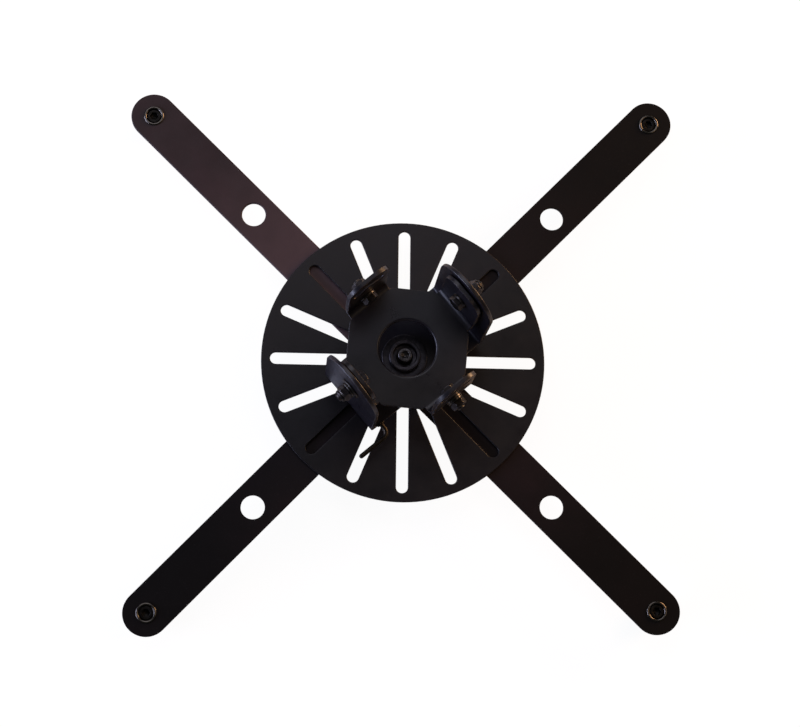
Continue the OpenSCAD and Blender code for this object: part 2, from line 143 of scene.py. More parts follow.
class HardwareSettings(PropertyGroup):
    """Sizes of the turned and threaded hardware."""

    pitch: FloatProperty(
        name="Thread pitch", description="Advance of the thread in one turn", unit="LENGTH",
        min=0.0004, max=0.002, default=0.001,
    )
    thread_depth: FloatProperty(
        name="Thread depth", description="Depth of the thread's groove", unit="LENGTH",
        min=0.0001, max=0.001, default=0.00055,
    )
    edge_round: FloatProperty(
        name="Sheet edge", description="Rounding of the edges of the sheet pieces", unit="LENGTH",
        min=0.0001, max=0.001, default=0.0006,
    )
    lip: FloatProperty(
        name="Hole's lip", description="Rounding of the upper edge of the octagon's hole", unit="LENGTH",
        min=0.0002, max=0.0025, default=0.0016,
    )
    small_round: FloatProperty(
        name="Small edge", description="Rounding of the edges of washers, bosses and legs", unit="LENGTH",
        min=0.00005, max=0.0006, default=0.00028,
    )
    flat_width: FloatProperty(
        name="Across flats", description="Width of the hexagon heads and nuts", unit="LENGTH",
        min=0.005, max=0.02, default=0.010,
    )
    bore: FloatProperty(
        name="Thread", description="Diameter of the screws and bolts", unit="LENGTH",
        min=0.003, max=0.01, default=0.006,
    )
    socket: FloatProperty(
        name="Socket", description="Width across the flats of a socket screw's hole", unit="LENGTH",
        min=0.002, max=0.008, default=0.005,
    )
    knurls: IntProperty(
        name="Knurls", description="Ridges round a socket screw's head", min=16, max=64, default=40,
    )
    sides: IntProperty(
        name="Sides", description="Steps round a turned piece, a multiple of six", min=24, max=192,
        default=96,
    )


class StageSettings(PropertyGroup):
    """Camera and lamps."""

    lens: FloatProperty(
        name="Lens", description="Focal length on a 36 mm sensor", unit="CAMERA", min=10.0, max=300.0,
        default=83.75,
    )
    camera_place: FloatVectorProperty(
        name="Camera", description="Place of the camera", subtype="TRANSLATION", unit="LENGTH", size=3,
        default=(-0.0790, -0.2519, 1.3306),
    )
    camera_turn: FloatVectorProperty(
        name="Camera turn", description="Turn of the camera about X, Y and Z", subtype="EULER", size=3,
        default=(math.radians(10.780), math.radians(-3.480), math.radians(0.624)),
    )
    floor_size: FloatProperty(
        name="Floor", description="Side of the floor", unit="LENGTH", min=2.0, max=40.0, default=14.0,
    )
    floor_colour: panel_colour("Floor colour", "Colour of the pale floor", (0.86, 0.86, 0.86))
    key_power: FloatProperty(
        name="Key lamp", description="Power of the key lamp in watts", min=0.0, max=500.0, default=16.0,
    )
    key_colour: panel_colour("Key colour", "Cool light from the left", (0.64, 0.69, 1.0))
    warm_colour: panel_colour("Warm colour", "Warm light from the right", (1.0, 0.58, 0.30))
    sky: FloatProperty(
        name="Sky", description="Strength of the world's light", min=0.0, max=2.0, default=0.07,
    )


def add_node(tree, kind, place=(0, 0), **inputs):
    """A shader node with its sockets set by name; underscores stand for spaces."""
    made = tree.nodes.new(kind)
    made.location = place
    for key, value in inputs.items():
        made.inputs[key.replace("_", " ")].default_value = value
    return made


def new_material(name):
    """An empty node material with its output and a shader, and the tree to fill."""
    made = bpy.data.materials.new(name)
    made.use_nodes = True
    tree = made.node_tree
    tree.nodes.clear()
    out = add_node(tree, "ShaderNodeOutputMaterial", (900, 0))
    shader = add_node(tree, "ShaderNodeBsdfPrincipled", (600, 0))
    tree.links.new(shader.outputs["BSDF"], out.inputs["Surface"])
    return made, tree, shader


def noise_at(tree, coords, scale, detail=3.0, roughness=0.5, place=(0, 0)):
    """A noise pattern on object coordinates."""
    made = add_node(tree, "ShaderNodeTexNoise", place, Scale=scale, Detail=detail, Roughness=roughness)
    tree.links.new(coords, made.inputs["Vector"])
    return made.outputs["Fac"]


def ramp_of(tree, value, stops, place=(0, 0)):
    """A colour ramp through (position, colour) stops."""
    made = tree.nodes.new("ShaderNodeValToRGB")
    made.location = place
    points = made.color_ramp.elements
    points[0].position, points[0].color = stops[0][0], (*stops[0][1], 1)
    points[1].position, points[1].color = stops[-1][0], (*stops[-1][1], 1)
    for position, colour in stops[1:-1]:
        points.new(position).color = (*colour, 1)
    tree.links.new(value, made.inputs["Fac"])
    return made.outputs["Color"]


def remap(tree, value, low, high, to_low, to_high, place=(0, 0)):
    """Value carried from one range to another and clamped."""
    made = tree.nodes.new("ShaderNodeMapRange")
    made.location = place
    for key, number in zip(("From Min", "From Max", "To Min", "To Max"), (low, high, to_low, to_high)):
        made.inputs[key].default_value = number
    tree.links.new(value, made.inputs["Value"])
    return made.outputs["Result"]


def maths(tree, kind, a, b, place=(0, 0)):
    """A sum, product or other operation of two values or numbers, clamped to 0 to 1."""
    made = tree.nodes.new("ShaderNodeMath")
    made.operation = kind
    made.use_clamp = True
    made.location = place
    for socket, value in zip(made.inputs, (a, b)):
        if isinstance(value, (int, float)):
            socket.default_value = value
        else:
            tree.links.new(value, socket)
    return made.outputs["Value"]


def mix_colours(tree, factor, a, b, kind="MIX", place=(0, 0)):
    """Colour a turned into colour b by a factor; each may be a colour or a socket."""
    made = tree.nodes.new("ShaderNodeMix")
    made.data_type = "RGBA"
    made.blend_type = kind
    made.location = place
    for socket, value in zip((made.inputs["Factor"], made.inputs[6], made.inputs[7]), (factor, a, b)):
        if isinstance(value, (int, float)):
            socket.default_value = value
        elif isinstance(value, tuple):
            socket.default_value = (*value, 1)
        else:
            tree.links.new(value, socket)
    return made.outputs[2]


def edge_mask(tree, reach, place=(0, 0)):
    """1 along an edge and 0 on a flat: how far the normal, rounded over a reach, leaves the true one.

    The node that rounds the normal is given back too.
    """
    x, y = place
    rounded = add_node(tree, "ShaderNodeBevel", (x, y), Radius=reach)
    rounded.samples = 6
    true = add_node(tree, "ShaderNodeNewGeometry", (x, y - 200))
    dot = tree.nodes.new("ShaderNodeVectorMath")
    dot.operation = "DOT_PRODUCT"
    dot.location = (x + 180, y)
    tree.links.new(rounded.outputs["Normal"], dot.inputs[0])
    tree.links.new(true.outputs["Normal"], dot.inputs[1])
    return remap(tree, dot.outputs["Value"], 0.995, 0.80, 0.0, 1.0, (x + 360, y)), rounded


def powder_coat(name, colour, coat, tone, wear_and_sheen=1.0, rough=0.46, shine=0.30, outer=1.0):
    """Satin powder coat: orange peel, cloudy tone, rub marks, fine dust and a painted bronze reflection along
    its edges.

    The last argument is the share of the tone that is left at the arms' ends: painted shade that darkens them
    there and leaves a painted sheen near the disk.
    """
    made, tree, shader = new_material(name)
    coords = add_node(tree, "ShaderNodeTexCoord", (-1400, 0)).outputs["Object"]
    cloud = noise_at(tree, coords, 14.0, 4.0, 0.6, (-1100, 300))
    speck = noise_at(tree, coords, 900.0, 2.0, 0.6, (-1100, 100))
    rub = noise_at(tree, coords, 46.0, 8.0, 0.72, (-1100, -100))
    edge, rounded = edge_mask(tree, coat.wear_and_sheen, (-1100, -400))
    dark = tuple(c * 0.72 for c in colour)
    warm = tuple(c * t for c, t in zip(colour, tone))
    base = ramp_of(tree, cloud, ((0.30, dark), (0.52, colour), (0.74, warm)), (-800, 300))
    # Painted shade: the arms darken towards their ends, so that their inner parts keep a painted sheen.
    if outer != 1.0:
        away = tree.nodes.new("ShaderNodeVectorMath")
        away.operation = "LENGTH"
        tree.links.new(coords, away.inputs[0])
        share = remap(tree, away.outputs["Value"], 0.11, 0.20, 1.0, outer, (-1100, 500))
        base = mix_colours(tree, share, (0.0, 0.0, 0.0), base, place=(-650, 400))
    dust = remap(tree, speck, 0.66, 0.80, 0.0, 0.14, (-800, 100))
    dusty = mix_colours(tree, dust, base, (0.10, 0.09, 0.085), place=(-500, 250))
    # Painted reflection: bronze, partly metallic patches along the edges stand in for warm light reflected
    # off them.
    sheen_patches = remap(tree, rub, 0.44, 0.70, 0.0, 1.0, (-800, -100))
    edge_reflection = maths(tree, "MULTIPLY", maths(tree, "MULTIPLY", edge, sheen_patches, (-500, -300)), wear_and_sheen, (-300, -300))
    whole = mix_colours(tree, edge_reflection, dusty, tuple(coat.edge), place=(-200, 200))
    tree.links.new(whole, shader.inputs["Base Color"])
    gloss = remap(tree, rub, 0.35, 0.75, rough + 0.08, rough - 0.10, (-200, -50))
    tree.links.new(gloss, shader.inputs["Roughness"])
    edge_metallic = maths(tree, "MULTIPLY", edge_reflection, 0.8, (0, -200))
    tree.links.new(edge_metallic, shader.inputs["Metallic"])
    shader.inputs["Specular IOR Level"].default_value = shine
    peel = noise_at(tree, coords, 1.0 / coat.peel, 2.0, 0.5, (-500, -600))
    pits = noise_at(tree, coords, 2600.0, 1.0, 0.5, (-500, -800))
    height = maths(tree, "ADD", maths(tree, "MULTIPLY", peel, 0.7, (-300, -600)),
                   maths(tree, "MULTIPLY", pits, 0.3, (-300, -800)), (-100, -600))
    bump = add_node(tree, "ShaderNodeBump", (200, -500), Strength=0.22, Distance=0.00012)
    tree.links.new(height, bump.inputs["Height"])
    tree.links.new(rounded.outputs["Normal"], bump.inputs["Normal"])
    tree.links.new(bump.outputs["Normal"], shader.inputs["Normal"])
    return made


def plated_steel(name, colour, coat, bright, rough=0.30, lathe=True, rub=1.0, rim=None):
    """Black-plated steel: fine lathe lines, cloudy plating, bright rubbed edges and specks of rubbed plating.

    The lines follow the attribute turning on turned pieces and the object's coordinates elsewhere. Above
    the height rim the metal is painted brighter, a painted highlight that stands in for the rim's bright
    ring.
    the height rim the plating is worn off.
    """
    made, tree, shader = new_material(name)
    coords = add_node(tree, "ShaderNodeTexCoord", (-1400, 0)).outputs["Object"]
    cloud = noise_at(tree, coords, 260.0, 4.0, 0.6, (-1100, 300))
    if lathe:
        turning = add_node(tree, "ShaderNodeAttribute", (-1400, -200))
        turning.attribute_name = "turning"
        lines = noise_at(tree, turning.outputs["Vector"], 9.0, 4.0, 0.75, (-1100, 0))
    else:
        lines = noise_at(tree, coords, 1800.0, 3.0, 0.7, (-1100, 0))
    scuff = noise_at(tree, coords, 700.0, 6.0, 0.7, (-1100, -150))
    edge, rounded_edge = edge_mask(tree, coat.wear_and_sheen * 0.6, (-1100, -400))
    dark = tuple(c * 0.6 for c in colour)
    light = tuple(min(1.0, c * 1.5) for c in colour)
    base = ramp_of(tree, cloud, ((0.34, dark), (0.5, colour), (0.70, light)), (-800, 300))
    streaks = remap(tree, lines, 0.35, 0.6, 0.4 * rub, rub, (-800, -100))
    rubbed = maths(tree, "MULTIPLY", edge, streaks, (-500, -200))
    specks = remap(tree, scuff, 0.60, 0.72, 0.0, 0.30 * rub, (-800, -250))
    wear_and_highlight = maths(tree, "ADD", rubbed, specks, (-350, -200))
    # Painted highlight: above the height rim the metal is made brighter, standing in for the bright ring on
    # the legs' crowns.
    if rim is not None:
        split = tree.nodes.new("ShaderNodeSeparateXYZ")
        tree.links.new(coords, split.inputs[0])
        crown = remap(tree, split.outputs["Z"], rim, rim + 0.0002, 0.0, 0.85, (-500, -450))
        wear_and_highlight = maths(tree, "MAXIMUM", wear_and_highlight, crown, (-250, -300))
    whole = mix_colours(tree, wear_and_highlight, base, bright, place=(-200, 200))
    tree.links.new(whole, shader.inputs["Base Color"])
    gloss = remap(tree, lines, 0.3, 0.7, rough - 0.05, rough + 0.12, (-200, -50))
    tree.links.new(gloss, shader.inputs["Roughness"])
    shader.inputs["Metallic"].default_value = 1.0
    bump = add_node(tree, "ShaderNodeBump", (200, -500), Strength=0.22, Distance=0.00006)
    tree.links.new(lines, bump.inputs["Height"])
    tree.links.new(rounded_edge.outputs["Normal"], bump.inputs["Normal"])
    tree.links.new(bump.outputs["Normal"], shader.inputs["Normal"])
    return made


def nylon(name, colour):
    """Dark nylon: soft mottling, faint moulding grain and a dull sheen."""
    made, tree, shader = new_material(name)
    coords = add_node(tree, "ShaderNodeTexCoord", (-1000, 0)).outputs["Object"]
    cloud = noise_at(tree, coords, 220.0, 4.0, 0.6, (-800, 200))
    grain = noise_at(tree, coords, 2200.0, 2.0, 0.5, (-800, -100))
    dark, light = (tuple(c * share for c in colour) for share in (0.7, 1.4))
    base = ramp_of(tree, cloud, ((0.35, dark), (0.65, light)), (-500, 200))
    tree.links.new(base, shader.inputs["Base Color"])
    tree.links.new(remap(tree, grain, 0.3, 0.7, 0.48, 0.64, (-500, 0)), shader.inputs["Roughness"])
    shader.inputs["Specular IOR Level"].default_value = 0.35
    bump = add_node(tree, "ShaderNodeBump", (200, -300), Strength=0.2, Distance=0.00005)
    tree.links.new(grain, bump.inputs["Height"])
    tree.links.new(bump.outputs["Normal"], shader.inputs["Normal"])
    return made


FINISHES = {}


def finish(name):
    """The finish of that name, made once from the panel's colours."""
    if name in FINISHES:
        return FINISHES[name]
    coat = bpy.context.scene.mount_coat
    arm_top = float(points_of("arm_upper_left")[:, 2].max())
    coats = {
        "disk": ("disk_powder_coat", coat.disk, (1.35, 1.15, 1.15), 0.3, 0.35),
        # The arm coats' last number leaves painted shade towards the arms' ends; the paler arm's coat is a
        # painted sheen.
        "arm": ("arm_powder_coat", coat.arm, (1.7, 1.35, 1.4), 0.4, 0.52, 0.12, 0.24),
        "pale_arm": ("pale_arm_powder_coat", coat.pale_arm, (1.4, 1.25, 1.35), 0.5, 0.5, 0.16, 0.42),
        "head": ("head_powder_coat", coat.head, (1.3, 1.1, 1.25), 1.0, 0.33, 0.42),
    }
    metals = {
        "steel": ("black_zinc", coat.steel, (0.24, 0.22, 0.19), {}),
        "washer": ("washer_zinc", coat.washer, (0.30, 0.28, 0.25), {"rough": 0.26}),
        # The leg steel is painted brighter above the arms' top, a painted highlight of the rim.
        "leg": (
            "leg_steel", (0.024, 0.022, 0.020), (0.105, 0.095, 0.082),
            {"rough": 0.17, "rim": arm_top + 0.0001},
        ),
        "screw": ("swivel_steel", (0.085, 0.080, 0.082), (0.42, 0.40, 0.38), {"rough": 0.24}),
        # Painted shade: dark steel for parts that sit in shade, the leg screws in their bores and the washer
        # at the bottom of the swivel's recess.
        "recess_shade": ("recess_shade_steel", (0.014, 0.013, 0.012), (0.07, 0.065, 0.06), {"rough": 0.42, "rub": 0.5}),
        "boss": ("turned_boss", (0.050, 0.047, 0.053), (0.30, 0.28, 0.29), {"rough": 0.32}),
        "hook": (
            "oxide_rod", (0.028, 0.024, 0.019), (0.15, 0.135, 0.11),
            {"rough": 0.36, "lathe": False, "rub": 0.6},
        ),
    }
    if name in coats:
        title, colour, *options = coats[name]
        made = powder_coat(title, tuple(colour), coat, *options)
    elif name in metals:
        title, colour, bright, options = metals[name]
        made = plated_steel(title, tuple(colour), coat, bright, **options)
    elif name == "nylon":
        made = nylon("dark_nylon", tuple(coat.plastic))
    else:
        raise ValueError(name)
    FINISHES[name] = made
    return made


def dress(target, name):
    """Gives a piece or a node one finish."""
    target.data.materials.clear()
    target.data.materials.append(finish(name))
    return target


class Place:
    """Where a turned piece stands: a point on its axis, and its X, Y and Z directions."""

    def __init__(self, node, axis, corner=False):
        """Takes the axis through the middle of a node, and X towards its farthest corner if asked."""
        self.z = np.array(axis, float) / np.linalg.norm(axis)
        level = np.cross(UP, self.z) if abs(self.z[2]) < 0.9 else np.array((1.0, 0.0, 0.0))
        self.x = level / np.linalg.norm(level)
        self.y = np.cross(self.z, self.x)
        points = points_of(node)
        a, b = points @ self.x, points @ self.y
        mid_a, mid_b = (a.min() + a.max()) / 2, (b.min() + b.max()) / 2
        self.origin = mid_a * self.x + mid_b * self.y
        if corner:
            far = int(np.argmax((a - mid_a) ** 2 + (b - mid_b) ** 2))
            turn = math.atan2(b[far] - mid_b, a[far] - mid_a)
            self.x, self.y = (
                math.cos(turn) * self.x + math.sin(turn) * self.y,
                math.cos(turn) * self.y - math.sin(turn) * self.x,
            )

    def put(self, local):
        """Local points carried to where they stand."""
        return self.origin + local[..., :1] * self.x + local[..., 1:2] * self.y + local[..., 2:] * self.z

    def span(self, node):
        """Lowest and highest point of a node along the axis."""
        along = points_of(node) @ self.z
        return float(along.min()), float(along.max())

    def radius(self, node):
        """Largest distance of a node's points from the axis."""
        off = points_of(node) - self.origin
        return float(np.sqrt((off @ self.x) ** 2 + (off @ self.y) ** 2).max())


def ring_faces(rows, columns, closed):
    """Quads between rings of points, each joined round; closed joins the last ring to the first."""
    r = np.arange(rows if closed else rows - 1)[:, None]
    c = np.arange(columns)[None, :]
    n, d = (r + 1) % rows, (c + 1) % columns
    quads = np.stack([r * columns + c, r * columns + d, n * columns + d, n * columns + c], axis=-1)
    return quads.reshape(-1, 4)


def volume_of(points, faces):
    """Six times the signed volume of a closed mesh: the sum of the triple products of its triangles."""
    total = 0.0
    for size in {len(face) for face in faces}:
        corners = points[np.array([face for face in faces if len(face) == size])]
        for k in range(1, size - 1):
            products = np.einsum("ij,ij->i", corners[:, 0], np.cross(corners[:, k], corners[:, k + 1]))
            total += float(products.sum())
    return total


def skin(name, rings, node, look, closed=False, angle=30.0):
    """A piece skinned over rings of points, standing for a node: capped with fans unless closed on itself.

    The attribute turning holds, for each point, its direction round the axis and its way along the
    profile, so that a finish can draw the lines that a lathe leaves.
    """
    rows, columns = rings.shape[:2]
    points = rings.reshape(-1, 3)
    steps = np.linalg.norm(np.diff(rings[:, 0], axis=0), axis=-1)
    along = np.concatenate([[0.0], np.cumsum(steps)])
    turn = np.linspace(0, 2 * math.pi, columns, endpoint=False)
    turning = np.empty((rows, columns, 3))
    turning[..., 0] = np.cos(turn)[None, :] * 0.5
    turning[..., 1] = np.sin(turn)[None, :] * 0.5
    turning[..., 2] = along[:, None] * 1000.0
    turning = turning.reshape(-1, 3)
    faces = ring_faces(rows, columns, closed).tolist()
    if not closed:
        for row, way in ((0, -1), (rows - 1, 1)):
            first, centre = row * columns, len(points)
            points = np.vstack([points, rings[row].mean(axis=0)])
            turning = np.vstack([turning, [0.0, 0.0, turning[first, 2]]])
            for c in range(columns):
                a, b = first + c, first + (c + 1) % columns
                faces.append([a, b, centre] if way > 0 else [b, a, centre])
    if volume_of(points, faces) < 0:
        faces = [face[::-1] for face in faces]
    mesh = bpy.data.meshes.new(name)
    mesh.from_pydata(points.tolist(), [], faces)
    layer = mesh.attributes.new("turning", "FLOAT_VECTOR", "POINT")
    layer.data.foreach_set("vector", turning.astype(np.float32).ravel())
    mesh.update()
    piece = bpy.data.objects.new(name, mesh)
    bpy.context.scene.collection.objects.link(piece)
    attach(piece, body_of(node))
    return shade(dress(piece, look), angle)


def stand_in(name, rings, node, look, **options):
    """A skinned piece that is drawn in place of its node."""
    piece = skin(name, rings, node, look, **options)
    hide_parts(node)
    return piece


def rounded(profile, radius, steps=4, closed=True):
    """A profile with each corner P swapped for a curve: P + t((1 - s)^2 a + s^2 b), s from 0 to 1.

    Here a and b point to the two neighbours and t is the radius, or less on a short side.
    """
    profile = np.array(profile, float)
    made, count = [], len(profile)
    for k in range(count):
        if not closed and k in (0, count - 1):
            made.append(profile[k])
            continue
        a, b = profile[k - 1] - profile[k], profile[(k + 1) % count] - profile[k]
        long_a, long_b = np.linalg.norm(a), np.linalg.norm(b)
        t = min(radius, 0.45 * long_a, 0.45 * long_b)
        s = np.linspace(0, 1, steps + 1)[:, None]
        made.extend(profile[k] + t * ((1 - s) ** 2 * a / long_a + s**2 * b / long_b))
    return np.array(made)


def level_rings(reach, turn, z):
    """Points at a distance reach from the axis: x = r cos t, y = r sin t, at height z."""
    return np.stack([reach * np.cos(turn), reach * np.sin(turn), z + 0 * turn], axis=-1)


def turned(profile, place, sides):
    """Rings of a (radius, height) profile turned about an axis: x = r cos t, y = r sin t, z = h."""
    turn = np.linspace(0, 2 * math.pi, sides, endpoint=False)
    return place.put(level_rings(profile[:, :1], turn, profile[:, 1:]))


def smallest(a, b):
    """The smaller of two lengths, with the step between them rounded off."""
    return (a**-SHARPNESS + b**-SHARPNESS) ** (-1.0 / SHARPNESS)


def hexagon_reach(turn, width):
    """Distance from the centre to a hexagon's side, with its corners at 0, 60, 120 degrees and so on."""
    total = 0.0
    for k in range(6):
        total = total + np.maximum(np.cos(turn - math.radians(30 + 60 * k)), 0.0) ** SHARPNESS
    return width / 2 / total ** (1.0 / SHARPNESS)


def hexagon_rings(place, low, high, width, sides, chamfer_low, chamfer_high):
    """Rings of a hexagon's side: the smaller of its flats and of 30 degree cones at its chamfered ends."""
    turn = np.linspace(0, 2 * math.pi, sides, endpoint=False)
    flats = hexagon_reach(turn, width)[None, :]
    steps = np.array((0.0, 0.02, 0.05, 0.09, 0.14, 0.20, 0.27, 0.36, 0.5))
    h = np.concatenate([steps, 1 - steps[-2::-1]])[:, None]
    z = low + (high - low) * h
    reach = flats + 0 * z
    for end, used in ((low, chamfer_low), (high, chamfer_high)):
        start, slope = (width * 0.47, 3.0**0.5) if used else (width * 0.565, 1.6)
        reach = smallest(reach, start + slope * np.abs(z - end))
    return place.put(level_rings(reach, turn, z))


def circle_ring(place, radius, z, sides):
    """One ring of a circle of a radius at height z."""
    return turned(np.array([[radius, z]]), place, sides)


def thread_rings(place, low, high, radius, pitch, depth, sides):
    """Rings of a screw thread: r = R - d w(h / pitch - t / 2 pi), where w is a rounded V wave.

    The groove fades out over the last turn at its start, and the tip is turned to a cone.
    """
    count = max(8, int((high - low) / pitch * 9))
    h = np.linspace(0, high - low, count)[:, None]
    turn = np.linspace(0, 2 * math.pi, sides, endpoint=False)[None, :]
    wave = np.abs(2 * ((h / pitch - turn / (2 * math.pi)) % 1.0) - 1)
    groove = np.clip(1.25 * wave - 0.12, 0, 1)
    fade = np.clip(h / pitch, 0, 1)
    tip = radius - depth - 0.0001 + np.maximum((high - low) - h, 0)
    r = np.minimum(radius - depth * groove * fade, tip)
    return place.put(level_rings(r, turn, low + h))


def swept(path, radius, sides):
    """Rings of a circle carried along a path of points, each ring square to the path."""
    path = np.array(path, float)
    ways = np.gradient(path, axis=0)
    ways /= np.linalg.norm(ways, axis=1)[:, None]
    side = np.cross(ways, UP)
    side /= np.linalg.norm(side, axis=1)[:, None]
    other = np.cross(side, ways)
    turn = np.linspace(0, 2 * math.pi, sides, endpoint=False)
    r = np.broadcast_to(np.array(radius, float), (len(path),))[:, None, None]
    spoke = np.cos(turn)[:, None] * side[:, None] + np.sin(turn)[:, None] * other[:, None]
    return path[:, None] + r * spoke


def shade(piece, angle):
    """Smooth shading with sharp edges past an angle."""
    piece.data.shade_smooth()
    piece.data.set_sharp_from_angle(angle=math.radians(angle))
    return piece


def softened(node, body, look, width, segments=2, lip=None):
    """A copy of a node's mesh with its doubles merged and its edges rounded, standing for the node.

    Lip is the radius of a hole about the swivel's axis, and how far its upper edge is rounded.
    """
    source = NODES[node]
    made = bmesh.new()
    made.from_mesh(source.data)
    bmesh.ops.remove_doubles(made, verts=made.verts, dist=1e-6)
    bmesh.ops.dissolve_limit(
        made, angle_limit=math.radians(0.5), verts=made.verts, edges=made.edges, delimit={"NORMAL"}
    )
    if lip:
        radius, size = lip
        near = [v for v in made.verts if abs(v.co.xy.length - radius) < 0.0002]
        level = max(v.co.z for v in near)
        near = {v for v in near if abs(v.co.z - level) < 0.00001}
        rim = [edge for edge in made.edges if near.issuperset(edge.verts)]
        bmesh.ops.bevel(
            made, geom=rim, offset=size, segments=5, profile=0.5, affect="EDGES", clamp_overlap=False
        )
    mesh = bpy.data.meshes.new(node + "_sheet")
    made.to_mesh(mesh)
    made.free()
    piece = bpy.data.objects.new(node + "_sheet", mesh)
    bpy.context.scene.collection.objects.link(piece)
    rounding = piece.modifiers.new("edge_round", "BEVEL")
    rounding.width = width
    rounding.segments = segments
    rounding.limit_method = "ANGLE"
    rounding.angle_limit = math.radians(40)
    rounding.use_clamp_overlap = True
    rounding.harden_normals = False
    level_shading = piece.modifiers.new("level_shading", "WEIGHTED_NORMAL")
    level_shading.weight = 100
    level_shading.keep_sharp = True
    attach(piece, body)
    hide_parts(node)
    return shade(dress(piece, look), 35.0)


def body_of(node):
    """Name of the body that a node rides on."""
    for body, members in frame["record"]["behaviour"]["bodies"].items():
        if node in members:
            return body
    raise ValueError(node)


class MOUNT_OT_disk(Operator):
    """Rounds the edges of the slotted disk and gives it its powder coat."""

    bl_idname = "mount.disk"
    bl_label = "Disk"

    def execute(self, context):
        width = context.scene.mount_hardware.edge_round
        softened("spider_disk", "disk", "disk", width)
        return {"FINISHED"}


class MOUNT_OT_arms(Operator):
    """Rounds the edges of the four arms and gives them their powder coat."""

    bl_idname = "mount.arms"
    bl_label = "Arms"

    def execute(self, context):
        width = context.scene.mount_hardware.edge_round
        for corner in CORNERS:
            # The arm at the upper left gets a painted sheen: the same coat painted paler.
            look = "pale_arm" if corner == "upper_left" else "arm"
            softened("arm_" + corner, "arm_" + corner, look, width)
        return {"FINISHED"}


class MOUNT_OT_head(Operator):
    """Rounds the edges of the yoke and the tilt frame and gives them their powder coat."""

    bl_idname = "mount.head"
    bl_label = "Yoke and tilt frame"

    def execute(self, context):
        set_up = context.scene.mount_hardware
        softened("yoke", "yoke", "head", set_up.edge_round)
        lip = (mount_radius("cable_hole"), set_up.lip)
        softened("tilt_frame", "tilt_frame", "head", set_up.edge_round, lip=lip)
        return {"FINISHED"}


def make_bolt(node, axis, thread_length):
    """A hexagon bolt in place of its node: chamfered head, plain shank and a cut thread to its tip."""
    set_up = bpy.context.scene.mount_hardware
    place = Place(node, axis, corner=True)
    low, high = place.span(node)
    r, sides = set_up.bore / 2, set_up.sides
    seat, fillet = low + HEAD_HEIGHT, 0.0004
    start = max(high - thread_length, seat + fillet + 0.0001)
    rings = np.concatenate([
        turned(np.array([(0.0006, low), (set_up.flat_width * 0.44, low)]), place, sides),
        hexagon_rings(place, low, seat, set_up.flat_width, sides, True, False),
        circle_ring(place, r + fillet, seat, sides),
        circle_ring(place, r, seat + fillet, sides),
        thread_rings(place, start, high, r, set_up.pitch, set_up.thread_depth, sides),
    ])
    return stand_in(node + "_turned", rings, node, "steel", angle=38.0)


def make_nut(node, axis, collar=0.0):
    """A hexagon nut in place of its node, with countersunk ends and, on a locking nut, a round collar."""
    set_up = bpy.context.scene.mount_hardware
    place = Place(node, axis, corner=True)
    low, high = place.span(node)
    r, w, sides = set_up.bore / 2 + 0.00002, set_up.flat_width, set_up.sides
    top = high - collar
    if collar:
        crown = [(w * 0.455, top), (w * 0.455, high - 0.0008), (w * 0.425, high - 0.0002), (w * 0.40, high),
                 (w * 0.365, high), (w * 0.345, high - 0.0005), (r + 0.0001, high - 0.0005)]
    else:
        crown = [(w * 0.45, top), (r + 0.0006, top)]
    bore = [(r, top - 0.0007), (r, low + 0.0007), (r + 0.0006, low), (w * 0.45, low)]
    rings = np.concatenate([
        hexagon_rings(place, low, top, w, sides, True, True),
        turned(rounded(crown + bore, 0.00022, 3, closed=False), place, sides),
    ])
    return stand_in(node + "_turned", rings, node, "steel", closed=True, angle=38.0)


def make_washer(node, axis, look="washer", hole=None):
    """A flat washer in place of its node, its edges rounded and its seat just clear of what it slides on."""
    set_up = bpy.context.scene.mount_hardware
    place = Place(node, axis)
    low, high = place.span(node)
    low += SEAT_LIFT
    outer = place.radius(node)
    inner = hole or set_up.bore / 2 + HOLE_CLEAR
    profile = [(inner, low), (outer, low), (outer, high), (inner, high)]
    rings = turned(rounded(profile, set_up.small_round), place, set_up.sides)
    return stand_in(node + "_turned", rings, node, look, closed=True)


def make_spring_washer(node, bolt, axis):
    """A split washer in place of its node: a rounded square wire carried along one turn of a flat helix."""
    place = Place(bolt, axis, corner=True)
    low, high = place.span(node)
    inner = bpy.context.scene.mount_hardware.bore / 2 + HOLE_CLEAR
    outer, thick = place.radius(node), (high - low) * 0.94
    square = [(inner, 0), (outer, 0), (outer, thick), (inner, thick)]
    wire = rounded(square, 0.0003)
    steps, gap = 90, 18
    turn = np.radians(np.linspace(gap / 2, 360 - gap / 2, steps))[:, None]
    lift = low + (high - low - thick) * np.linspace(0, 1, steps)[:, None]
    lean = turn + (wire[None, :, 1] / thick - 0.5) * np.radians(gap / 2)
    local = level_rings(wire[None, :, 0], lean, lift + wire[None, :, 1])
    return stand_in(node + "_wound", place.put(local), node, "washer", angle=50.0)


